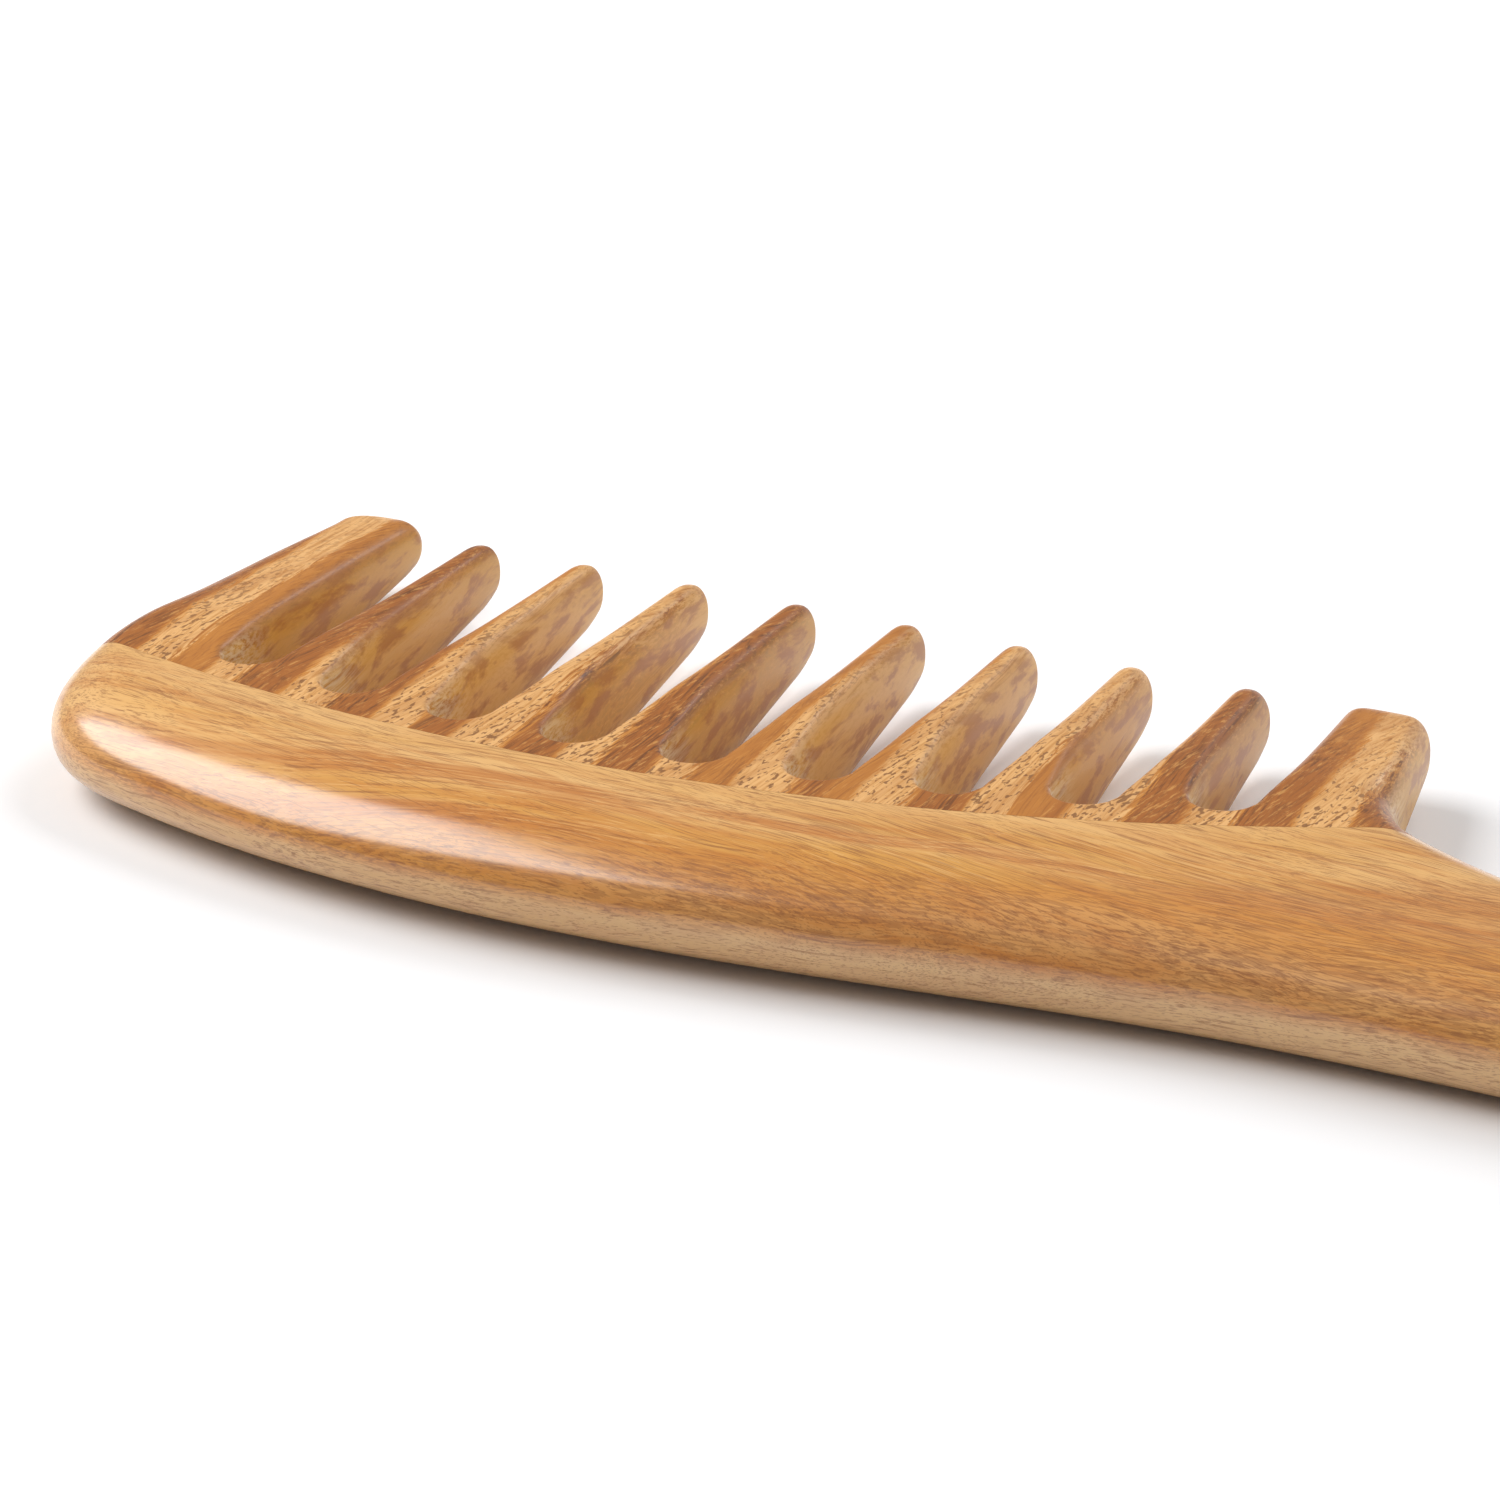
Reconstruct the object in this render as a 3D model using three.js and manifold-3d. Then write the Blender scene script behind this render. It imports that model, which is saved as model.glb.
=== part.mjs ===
// Wide tooth comb: a wooden spine and handle in one piece, with a toothed block glued along
// its inner arc. The block is one board, and its grain runs along the teeth, across the grain
// of the spine. A loose spline, hidden in a groove across the joint, keys the two together.
//
// Millimetres. X runs along the comb from the head to the handle, Y from the back edge
// towards the tooth tips, and Z up from the face that the comb lies on. The comb is the
// same above and below its middle plane.
import * as THREE from 'three';
import { mergeVertices } from 'three/addons/utils/BufferGeometryUtils.js';
import Module from 'manifold-3d';

const wasm = await Module();
wasm.setup();

// ---- Driving dimensions -------------------------------------------------------------------

const THICKNESS = 8.5;
const HALF = THICKNESS / 2;

// Teeth: nine slots at an even pitch leave eight narrow teeth between two wide guard teeth.
const SLOTS = 9;
const PITCH = 9;
const FIRST_SLOT_X = -82;
const LAST_SLOT_X = FIRST_SLOT_X + (SLOTS - 1) * PITCH;
const ROOT_RADIUS = 2.15;
const ROOT_ABOVE_JOINT = 3.2;

// Each wall leans away from its slot's middle by this much per mm of Y. The guard teeth
// hardly taper on their inner side.
const WALL_SLOPE = 0.034;
const FIRST_WALL_SLOPE = 0;
const LAST_WALL_SLOPE = 0.012;

// The tips lie on a straight line that brings the teeth down towards the handle. The guard
// teeth reach a little past it.
const TIP_LINE_X = -86.5;
const TIP_LINE_Y = 29.4;
const TIP_LINE_SLOPE = -0.109;
const FIRST_GUARD_EXTRA = 2.3;
const LAST_GUARD_EXTRA = 0.8;
const GUARD_TIP_RADIUS = 2.6;
const GUARD_OUTER_TIP_RADIUS = 4;
const GUARD_TIP_START = THREE.MathUtils.degToRad(171);
const GUARD_TIP_DEPTH = 3.2;
const NARROW_TIP_DEPTH = 1.2;

// The faces of the teeth slope together towards the tips, and round over at the very end.
const THINNING_FROM_Y = 2;
const THINNING_SLOPE = 0.07;
const TIP_ROUND_LENGTH = 3.5;
const TIP_ROUND_LOSS = 0.6;

// The glue joint is an arc that bulges towards the back edge.
const JOINT_RADIUS = 125;
const JOINT_LOW = new THREE.Vector2(-48, -14);
const GLUE_GAP = 0.3;

// Rounding of the edges, as seen from above and from the side.
const BACK_ROUND = 4.2;
const BACK_ROUND_DEPTH = 4;
const TOOTH_ROUND = 0.95;
const TOOTH_ROUND_DEPTH = 1.3;

// The spline that keys the block to the spine. The slots come close to the joint, so it
// reaches less far into the block.
const SPLINE_THICKNESS = 2;
const SPLINE_INTO_SPINE = 4;
const SPLINE_INTO_BLOCK = 1.9;
const SPLINE_FROM_X = -88;
const SPLINE_TO_X = -3;
const SPLINE_FIT = 0.3;

// Back edge and handle, from the head's end round the handle's end to the neck.
const HEAD_END = [-94.7, -5.5];
const BACK_EDGE = [
  HEAD_END, [-94.5, -9.8], [-91.5, -16], [-84, -20.6], [-67, -25.6], [-45, -27.6], [-5, -25.9],
  [30, -28.7], [55, -30], [80, -28], [92, -22.8], [95, -16.6], [92, -10.6], [80, -8.5],
  [60, -10.7], [43, -12.3], [26, -10.9], [13, -6.3], [5.3, -2.1],
];

// Outer edge of the first guard tooth, from the head's end to its tip.
const GUARD_EDGE = [HEAD_END, [-93.8, 6], [-92.3, 18], [-91, 26.5]];

// The last guard tooth's outer side leads into a hollow arc that runs out to the neck.
const LAST_SIDE_X = 0.3;
const LAST_SIDE_LEAN = 1.3;
const HOLLOW_START_Y = 6;
const HOLLOW_RADIUS = 9;
const HOLLOW_TURN = THREE.MathUtils.degToRad(64);

// How finely curves are cut into straight steps.
const STEPS_PER_POINT = 4;
const ROOT_STEPS = 8;
const TIP_STEPS = 6;
const CORNER_STEPS = 4;
const HOLLOW_STEPS = 7;
const JOINT_STEPS = 52;
const SPLINE_STEPS = 30;
const BACK_ROUND_STEPS = 4;
const TOOTH_ROUND_STEPS = 2;

// Beyond the comb on every side, for the solids that trim its pieces.
const LEFT_OF_ALL = -110;
const RIGHT_OF_JOINT = 20;
const BEHIND_ALL = -60;
const BELOW_JOINT_Y = -20;
const BEYOND_TIPS = 60;
const BELOW_ALL = -1;
const ABOVE_ALL = THICKNESS + 1;

// The spine's board has round corners above the joint, where it is cut away.
const SPINE_BLANK_CORNER = 8;

// Colours of the pieces of wood.
const WOODS = {
  spine: { color: 0xc08a4a, roughness: 0.38 },
  block: { color: 0xb27c48, roughness: 0.42 },
  spline: { color: 0xb9905c, roughness: 0.7 },
};

// ---- Geometry helpers ---------------------------------------------------------------------

const point = ([x, y]) => new THREE.Vector2(x, y);

/** Points of a smooth curve through the given ones. */
function smoothThrough(pairs) {
  const through = pairs.map(([x, y]) => new THREE.Vector3(x, y, 0));
  const curve = new THREE.CatmullRomCurve3(through, false, 'centripetal');
  const points = curve.getPoints((pairs.length - 1) * STEPS_PER_POINT);
  return points.map((p) => new THREE.Vector2(p.x, p.y));
}

/** Points of an arc, from one angle to the other. */
function arc(centre, radius, from, to, steps) {
  return Array.from({ length: steps + 1 }, (_, i) => {
    const angle = THREE.MathUtils.lerp(from, to, i / steps);
    const x = centre.x + radius * Math.cos(angle);
    const y = centre.y + radius * Math.sin(angle);
    return new THREE.Vector2(x, y);
  });
}

/** Y of the glue joint, moved outward from its centre by offset. */
function jointY(x, offset = 0) {
  const radius = JOINT_RADIUS + offset;
  const fromLow = x - JOINT_LOW.x;
  return JOINT_LOW.y + JOINT_RADIUS - Math.sqrt(radius * radius - fromLow * fromLow);
}

/** Y of the line that the tooth tips lie on. */
function tipLineY(x) {
  return TIP_LINE_Y + TIP_LINE_SLOPE * (x - TIP_LINE_X);
}

/** Points along the glue joint, moved by offset, between two values of X. */
function jointCurve(fromX, toX, offset, steps) {
  return Array.from({ length: steps + 1 }, (_, i) => {
    const x = THREE.MathUtils.lerp(fromX, toX, i / steps);
    return new THREE.Vector2(x, jointY(x, offset));
  });
}

/** A solid whose outline is the given points, with rounded edges, standing on Z = 0. */
function roundedPlate(outline, round, depth, segments) {
  const geometry = new THREE.ExtrudeGeometry(new THREE.Shape(outline), {
    depth: THICKNESS - 2 * depth,
    steps: 1,
    bevelEnabled: true,
    bevelSize: round,
    bevelOffset: -round,
    bevelThickness: depth,
    bevelSegments: segments,
  });
  return geometry.translate(0, 0, depth);
}

/** A square-edged solid between two heights. */
function plate(outline, bottom, top) {
  const options = { depth: top - bottom, steps: 1, bevelEnabled: false };
  return new THREE.ExtrudeGeometry(new THREE.Shape(outline), options).translate(0, 0, bottom);
}

/** A manifold solid from a closed geometry. */
function toSolid(geometry) {
  geometry.deleteAttribute('normal');
  geometry.deleteAttribute('uv');
  const merged = mergeVertices(geometry, 1e-4);
  const vertProperties = new Float32Array(merged.attributes.position.array);
  const triVerts = new Uint32Array(merged.index.array);
  return new wasm.Manifold(new wasm.Mesh({ numProp: 3, vertProperties, triVerts }));
}

/** A named mesh from a manifold solid. */
function toMesh(name, solid, wood) {
  const { vertProperties, triVerts } = solid.getMesh();
  const geometry = new THREE.BufferGeometry();
  geometry.setAttribute('position', new THREE.BufferAttribute(vertProperties, 3));
  geometry.setIndex(new THREE.BufferAttribute(triVerts, 1));
  geometry.computeVertexNormals();
  const material = new THREE.MeshStandardMaterial({ metalness: 0, ...WOODS[wood] });
  const mesh = new THREE.Mesh(geometry, material);
  mesh.name = name;
  return mesh;
}

// ---- Shapes -------------------------------------------------------------------------------

/** Y of the middle of the arc at the bottom of the slot at x. */
function rootY(x) {
  return jointY(x) + ROOT_ABOVE_JOINT + ROOT_RADIUS;
}

/** Y that a tooth over x reaches: the guard teeth are the ones outside the slots. */
function endY(x) {
  if (x < FIRST_SLOT_X) return tipLineY(x) + FIRST_GUARD_EXTRA;
  return tipLineY(x) + (x > LAST_SLOT_X ? LAST_GUARD_EXTRA : 0);
}

/** One wall of the slot at x, from its root arc's level up to topY. */
function slotWall(x, side, slope, topY) {
  const roundFrom = topY - TIP_ROUND_LENGTH / 2;
  return [THINNING_FROM_Y, roundFrom, topY].map((y) => {
    return new THREE.Vector2(x + side * (ROOT_RADIUS + slope * (y - rootY(x))), y);
  });
}

/** The hollow arc behind the last guard tooth, from its outer side to the neck. */
function hollowArc() {
  const centre = new THREE.Vector2(LAST_SIDE_X + HOLLOW_RADIUS, HOLLOW_START_Y);
  return arc(centre, HOLLOW_RADIUS, Math.PI, Math.PI + HOLLOW_TURN, HOLLOW_STEPS);
}

/** The round end of the narrow tooth whose walls end at these two points. */
function narrowTip(left, right) {
  const radius = (right.x - left.x) / 2;
  const centre = new THREE.Vector2((left.x + right.x) / 2, left.y);
  return arc(centre, radius, Math.PI, 0, TIP_STEPS).slice(1, -1);
}

/** The blunt end of a guard tooth: two round corners. */
function guardTip(leftX, rightX, leftRadius) {
  const rightRadius = GUARD_TIP_RADIUS;
  const left = new THREE.Vector2(leftX + leftRadius, endY(leftX) - leftRadius);
  const right = new THREE.Vector2(rightX - rightRadius, endY(rightX) - rightRadius);
  return [
    ...arc(left, leftRadius, GUARD_TIP_START, Math.PI / 2, CORNER_STEPS),
    ...arc(right, rightRadius, Math.PI / 2, 0, CORNER_STEPS),
  ];
}

/** The slot at x: down its left wall, round its root and up its right wall. */
function slotOutline(x) {
  const leftSlope = x === FIRST_SLOT_X ? FIRST_WALL_SLOPE : WALL_SLOPE;
  const rightSlope = x === LAST_SLOT_X ? LAST_WALL_SLOPE : WALL_SLOPE;
  const leftTop = x === FIRST_SLOT_X ? GUARD_TIP_DEPTH : NARROW_TIP_DEPTH;
  const rightTop = x === LAST_SLOT_X ? GUARD_TIP_DEPTH : NARROW_TIP_DEPTH;
  const centre = new THREE.Vector2(x, rootY(x));
  return [
    ...slotWall(x, -1, leftSlope, endY(x - PITCH / 2) - leftTop).reverse(),
    ...arc(centre, ROOT_RADIUS, Math.PI, 2 * Math.PI, ROOT_STEPS),
    ...slotWall(x, 1, rightSlope, endY(x + PITCH / 2) - rightTop),
  ];
}

/** Outline of the toothed block, running on below the joint so that it can be trimmed. */
function blockOutline() {
  const firstInnerX = FIRST_SLOT_X - ROOT_RADIUS;
  const outline = smoothThrough(GUARD_EDGE);
  outline.push(...guardTip(outline.at(-1).x, firstInnerX, GUARD_OUTER_TIP_RADIUS));
  for (let i = 0; i < SLOTS; i += 1) {
    const slot = slotOutline(FIRST_SLOT_X + i * PITCH);
    if (i > 0) outline.push(...narrowTip(outline.at(-1), slot[0]));
    outline.push(...slot);
  }
  const hollow = hollowArc();
  const lastTipX = hollow[0].x - LAST_SIDE_LEAN;
  outline.push(...guardTip(outline.at(-1).x, lastTipX, GUARD_TIP_RADIUS), ...hollow);
  const below = [[hollow.at(-1).x, BELOW_JOINT_Y], [HEAD_END[0], BELOW_JOINT_Y]];
  return [...outline, ...below.map(point)];
}

/** Outline of the spine and handle, closed by round corners beyond the joint. */
function spineOutline() {
  const radius = SPINE_BLANK_CORNER;
  const left = new THREE.Vector2(HEAD_END[0] + radius, HOLLOW_START_Y + radius);
  const right = new THREE.Vector2(LAST_SIDE_X - radius, HOLLOW_START_Y + radius);
  return [
    ...smoothThrough(BACK_EDGE),
    ...hollowArc().reverse().slice(1),
    ...arc(right, radius, 0, Math.PI / 2, CORNER_STEPS),
    ...arc(left, radius, Math.PI / 2, Math.PI, CORNER_STEPS),
  ];
}

/** Everything on the block's side of the joint, grown by offset towards the back. */
function blockSide(offset) {
  const edge = jointCurve(LEFT_OF_ALL, RIGHT_OF_JOINT, offset, JOINT_STEPS);
  const corners = [[RIGHT_OF_JOINT, BEYOND_TIPS], [LEFT_OF_ALL, BEYOND_TIPS]];
  return [...edge, ...corners.map(point)];
}

/** Everything on the spine's side of the joint, up to the offset arc. */
function spineSide(offset) {
  const edge = jointCurve(LEFT_OF_ALL, RIGHT_OF_JOINT, offset, JOINT_STEPS);
  const corners = [[LEFT_OF_ALL, BEHIND_ALL], [RIGHT_OF_JOINT, BEHIND_ALL]];
  return [...corners.map(point), ...edge.reverse()];
}

/** Outline of the spline, or of its groove when clearance is given. */
function splineOutline(clearance) {
  const fromX = SPLINE_FROM_X - clearance;
  const toX = SPLINE_TO_X + clearance;
  const low = jointCurve(fromX, toX, SPLINE_INTO_SPINE + clearance, SPLINE_STEPS);
  const high = jointCurve(fromX, toX, -SPLINE_INTO_BLOCK - clearance, SPLINE_STEPS);
  return [...low, ...high.reverse()];
}

/** The spline, or the groove that it sits in when clearance is given. */
function splineSolid(clearance) {
  const half = SPLINE_THICKNESS / 2 + clearance;
  return toSolid(plate(splineOutline(clearance), HALF - half, HALF + half));
}

/** A solid of that outline, taller than the comb, for cutting its pieces. */
function trimmer(outline) {
  return toSolid(plate(outline, BELOW_ALL, ABOVE_ALL));
}

/** How much of its full thickness the toothed block keeps at a point. */
function thicknessShare(x, y) {
  const past = Math.max(0, y - THINNING_FROM_Y);
  const face = 1 - (THINNING_SLOPE * past) / HALF;
  const toTip = THREE.MathUtils.clamp(1 - (endY(x) - y) / TIP_ROUND_LENGTH, 0, 1);
  return face * Math.sqrt(1 - TIP_ROUND_LOSS * toTip * toTip);
}

/** The comb's head without slots, its end rounded as the spine is, for trimming the block. */
function headSolid() {
  const right = RIGHT_OF_JOINT + BACK_ROUND;
  const corners = [[right, BEHIND_ALL], [right, BEYOND_TIPS], [HEAD_END[0], BEYOND_TIPS]];
  const outline = [...BACK_EDGE.slice(0, 3), ...corners].map(point);
  return toSolid(roundedPlate(outline, BACK_ROUND, BACK_ROUND_DEPTH, BACK_ROUND_STEPS));
}

/** The toothed block, thinning towards the tips and grooved for the spline. */
function blockSolid() {
  const depth = TOOTH_ROUND_DEPTH;
  const geometry = roundedPlate(blockOutline(), TOOTH_ROUND, depth, TOOTH_ROUND_STEPS);
  const position = geometry.attributes.position;
  for (let i = 0; i < position.count; i += 1) {
    const share = thicknessShare(position.getX(i), position.getY(i));
    position.setZ(i, HALF + (position.getZ(i) - HALF) * share);
  }
  const rounded = toSolid(geometry).intersect(headSolid());
  const trimmed = rounded.subtract(trimmer(spineSide(-GLUE_GAP / 2)));
  return trimmed.subtract(splineSolid(SPLINE_FIT));
}

/** The spine and handle, grooved for the spline. */
function spineSolid() {
  const depth = BACK_ROUND_DEPTH;
  const geometry = roundedPlate(spineOutline(), BACK_ROUND, depth, BACK_ROUND_STEPS);
  const whole = toSolid(geometry);
  const trimmed = whole.subtract(trimmer(blockSide(GLUE_GAP / 2)));
  return trimmed.subtract(splineSolid(SPLINE_FIT));
}

// ---- Assembly -----------------------------------------------------------------------------

const comb = new THREE.Group();
comb.add(toMesh('spine_and_handle', spineSolid(), 'spine'));
comb.add(toMesh('toothed_block', blockSolid(), 'block'));
comb.add(toMesh('joint_spline', splineSolid(0), 'spline'));

// The frame's origin is the middle of the comb's box, on the face that it lies on.
const box = new THREE.Box3().setFromObject(comb);
const middle = box.getCenter(new THREE.Vector3());
comb.position.set(-middle.x, -middle.y, -box.min.z);

export default comb;
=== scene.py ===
"""A wooden wide tooth comb: its spine and handle, and the toothed block glued along them.

The comb is modelled in plan, in millimetres, as one smooth outline whose every point carries
how softly the edge is rounded there. The plan is cut into triangles, lifted to the height of
the comb's surface above and below its middle plane, and parted along the glue line. Last, the
groove for the hidden spline is cut out of both boards.
"""

import math

import bpy
import numpy as np
from mathutils import Matrix, Vector, noise
from mathutils.bvhtree import BVHTree
from mathutils.geometry import delaunay_2d_cdt


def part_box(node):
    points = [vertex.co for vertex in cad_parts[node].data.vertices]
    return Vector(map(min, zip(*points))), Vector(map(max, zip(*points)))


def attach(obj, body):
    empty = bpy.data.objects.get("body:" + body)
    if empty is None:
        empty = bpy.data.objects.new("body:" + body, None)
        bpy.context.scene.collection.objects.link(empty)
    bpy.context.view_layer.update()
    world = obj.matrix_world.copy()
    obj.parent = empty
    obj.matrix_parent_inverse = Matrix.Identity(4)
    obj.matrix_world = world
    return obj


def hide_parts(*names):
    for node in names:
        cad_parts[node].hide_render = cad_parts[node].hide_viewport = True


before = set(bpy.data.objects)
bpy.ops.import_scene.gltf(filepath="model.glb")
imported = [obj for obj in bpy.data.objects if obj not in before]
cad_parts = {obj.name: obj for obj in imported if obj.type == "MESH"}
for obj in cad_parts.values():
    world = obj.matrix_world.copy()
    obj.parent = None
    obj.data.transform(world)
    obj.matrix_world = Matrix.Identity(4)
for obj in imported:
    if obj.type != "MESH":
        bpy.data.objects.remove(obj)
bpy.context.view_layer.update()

MM = 0.001

# ---- Camera -------------------------------------------------------------------------------

CAMERA_TARGET = Vector((-42.42, -8.54, 8.48)) * MM
CAMERA_DISTANCE = 350.57 * MM
CAMERA_AZIMUTH = math.radians(20.856)
CAMERA_ELEVATION = math.radians(22.863)
CAMERA_ROLL = math.radians(0.556)
CAMERA_LENS = 122.6
SENSOR_WIDTH = 36


def make_camera():
    """A long lens, low over the comb's back edge and a little to the handle's side."""
    data = bpy.data.cameras.new("camera")
    data.lens = CAMERA_LENS
    data.sensor_width = SENSOR_WIDTH
    camera = bpy.data.objects.new("camera", data)
    bpy.context.scene.collection.objects.link(camera)
    bpy.context.scene.camera = camera
    back = Vector((
        math.sin(CAMERA_AZIMUTH) * math.cos(CAMERA_ELEVATION),
        -math.cos(CAMERA_AZIMUTH) * math.cos(CAMERA_ELEVATION),
        math.sin(CAMERA_ELEVATION),
    ))
    turn = (-back).to_track_quat("-Z", "Y").to_matrix() @ Matrix.Rotation(CAMERA_ROLL, 3, "Z")
    camera.matrix_world = Matrix.Translation(CAMERA_TARGET + back * CAMERA_DISTANCE) @ turn.to_4x4()


make_camera()

# ---- Plan of the comb, in millimetres -----------------------------------------------------

SLOTS = 9
PITCH = 9
FIRST_SLOT_X = -82
LAST_SLOT_X = FIRST_SLOT_X + (SLOTS - 1) * PITCH
ROOT_RADIUS = 2.15
ROOT_ABOVE_JOINT = 3.2
WALL_SLOPE = 0.034
FIRST_WALL_SLOPE = 0
LAST_WALL_SLOPE = 0.012

TIP_LINE_X = -86.5
TIP_LINE_Y = 29.4
TIP_LINE_SLOPE = -0.109
FIRST_GUARD_EXTRA = 2.3
LAST_GUARD_EXTRA = 0.8
GUARD_TIP_RADIUS = 2.6
FIRST_TIP_RADII = (4.2, 2.1)
FIRST_TIP_INSET = 0.4
THINNING_FROM_Y = 2
THINNING_SLOPE = 0.07
THINNING_ONSET = 0.5
TIP_ROUND_LENGTH = 3.5
TIP_ROUND_LOSS = 0.6

JOINT_RADIUS = 125
JOINT_LOW_X = -48
JOINT_LOW_Y = -14
SPLINE_FROM_X = -88
SPLINE_INTO_SPINE = 4
SPLINE_INTO_BLOCK = 1.9
GROOVE_GAP = 0.15
GROOVE_SECTIONS = 60
GLUE_LINE = 0.03

GUARD_EDGE = [(-91, 26.5), (-92.3, 18), (-93.8, 6)]
BACK_EDGE = [
    (-94.7, -5.5), (-94.5, -9.8), (-91.5, -16), (-84, -20.6), (-67, -25.6), (-45, -27.6),
    (-5, -25.9), (30, -28.7), (55, -30), (80, -28), (92, -22.8), (95, -16.6), (92, -10.6),
    (80, -8.5), (60, -10.7), (43, -12.3), (26, -10.9), (13, -6.3),
]
HOLLOW_CENTRE = (9.3, 6)
HOLLOW_RADIUS = 9
HOLLOW_TURN = math.radians(64)
HOLLOW_POINTS = 5
LAST_TIP_X = -1

# How softly an edge is rounded: how far the rounding reaches in from the outline, in mm, and
# how much of the half thickness it takes.
HEAD_SOFT = (9.5, 1.0)
BACK_SOFT = (6.0, 1.0)
GUARD_SOFT = (3.4, 1.0)
GUARD_TIP_SOFT = (2.0, 0.95)
HOLLOW_SOFT = (2.8, 0.9)
ROOT_SOFT = (0.6, 0.15)
TOOTH_SOFT = (1.7, 0.97)
TOOTH_SHARE = 0.92

# A tooth's edge gets soft this fast above the root, as a power. The softness is then averaged
# over this many of the outline's points on either side.
SOFT_GROWTH = 5
SOFT_BLEND = 5

# How many points of the back edge lead from one softness to the next.
GUARD_TO_HEAD = 4
HEAD_TO_BACK = 3
BACK_TO_HOLLOW = 2

# Steps of the mesh.
EDGE_STEP = 0.5
WALL_STEP = 0.7
ARC_STEP = 0.16
ARC_LEAST_STEPS = 4
JOINT_FROM_X = -100
JOINT_TO_X = 12
JOINT_POINTS = 150
RINGS = 11
GRID_STEP = 1.0
GRID_ROW_STEP = GRID_STEP * 0.87
CLEAR_OF_LINES = 0.3

# The section of a rounded edge is a quarter of a superellipse, a little fuller than a circle.
ROUND_POWER = 2.15

# The two arcs of a tooth's full round stop just short of each other.
ROUND_FILL = 0.998

# The upper and lower surfaces meet where they are this near the middle plane.
CLOSED_AT = 0.02

# Faces that meet at more than this angle keep a sharp edge between them.
SHARP_ANGLE = math.radians(40)

# Ribbons of the block's figure: light ones at an even pitch with dark ones between. They
# lean through the thickness. Their borders wander from that, drift along the teeth and
# feather into each other.
RIBBON_PITCH = 7.2
LIGHT_RIBBON_X = -89
RIBBON_TILT = 0.15
RIBBON_WANDER = 6
RIBBON_DRIFT = 1.4
RIBBON_FEATHER = 3

# The surface isn't dead flat: a slow waviness left by sanding.
WAVE_HEIGHT = 0.035
WAVE_LENGTH = 14

spine_low, spine_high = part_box("spine_and_handle")
HALF = (spine_high.z - spine_low.z) / 2 / MM
MIDDLE_Z = (spine_high.z + spine_low.z) / 2 / MM

# The plan above is drawn about a point of its own. The spline's corner in the frame gives it.
spline_low, spline_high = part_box("joint_spline")
SHIFT = np.array((
    spline_low.x / MM - SPLINE_FROM_X,
    spline_low.y / MM - (JOINT_LOW_Y - SPLINE_INTO_SPINE),
))


def joint_y(x, offset=0):
    """Y of the glue joint, an arc that bulges towards the back edge."""
    radius = JOINT_RADIUS + offset
    return JOINT_LOW_Y + JOINT_RADIUS - np.sqrt(radius**2 - (x - JOINT_LOW_X) ** 2)


def root_y(x):
    """Y of the middle of the arc at the bottom of the slot at x."""
    return joint_y(x) + ROOT_ABOVE_JOINT + ROOT_RADIUS


def end_y(x):
    """Y that a tooth over x reaches: the guard teeth are the ones outside the slots."""
    past_line = np.where(x < FIRST_SLOT_X, FIRST_GUARD_EXTRA, 0)
    past_line = np.where(x > LAST_SLOT_X, LAST_GUARD_EXTRA, past_line)
    return TIP_LINE_Y + TIP_LINE_SLOPE * (x - TIP_LINE_X) + past_line


def smooth_through(points, step):
    """Evenly spaced points of a natural cubic spline through points of any dimension."""
    points = np.array(points, float)
    chord = np.linalg.norm(np.diff(points[:, :2], axis=0), axis=1)
    knots = np.concatenate(([0], np.cumsum(chord)))
    count = len(points)
    system = np.eye(count)
    target = np.zeros_like(points)
    for i in range(1, count - 1):
        before, after = chord[i - 1], chord[i]
        system[i, i - 1:i + 2] = before, 2 * (before + after), after
        rise = (points[i + 1] - points[i]) / after - (points[i] - points[i - 1]) / before
        target[i] = 6 * rise
    bend = np.linalg.solve(system, target)
    at = np.linspace(0, knots[-1], round(knots[-1] / step) + 1)
    i = np.clip(np.searchsorted(knots, at, side="right") - 1, 0, count - 2)
    width = chord[i][:, None]
    right = (at[:, None] - knots[i][:, None]) / width
    left = 1 - right
    curved = (left**3 - left) * bend[i] + (right**3 - right) * bend[i + 1]
    return left * points[i] + right * points[i + 1] + curved * width**2 / 6


def corner_arc(before, corner, after, radius):
    """Points of the arc of that radius that rounds off a corner."""
    to_before = before - corner
    to_after = after - corner
    to_before /= np.linalg.norm(to_before)
    to_after /= np.linalg.norm(to_after)
    half_angle = math.acos(np.clip(to_before @ to_after, -1, 1)) / 2
    middle = to_before + to_after
    middle /= np.linalg.norm(middle)
    centre = corner + middle * radius / math.sin(half_angle)
    start = corner + to_before * radius / math.tan(half_angle) - centre
    turn = math.pi - 2 * half_angle
    if to_before[0] * to_after[1] - to_before[1] * to_after[0] > 0:
        turn = -turn
    steps = max(ARC_LEAST_STEPS, math.ceil(abs(turn) * radius / ARC_STEP))
    angles = np.linspace(0, turn, steps + 1)
    x = centre[0] + start[0] * np.cos(angles) - start[1] * np.sin(angles)
    y = centre[1] + start[0] * np.sin(angles) + start[1] * np.cos(angles)
    return np.column_stack((x, y))


def rounded_path(corners, radii):
    """Points along straight edges between corners, every inner corner rounded off."""
    corners = np.array(corners, float)
    path = [corners[:1]]
    for i in range(1, len(corners) - 1):
        path.append(corner_arc(corners[i - 1], corners[i], corners[i + 1], radii[i]))
    path.append(corners[-1:])
    points = []
    for stretch, following in zip(path, path[1:]):
        points.extend(stretch)
        length = np.linalg.norm(following[0] - stretch[-1])
        steps = max(1, round(length / WALL_STEP))
        if length > WALL_STEP:
            points.extend(np.linspace(stretch[-1], following[0], steps + 1)[1:-1])
    return np.array(points)


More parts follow.
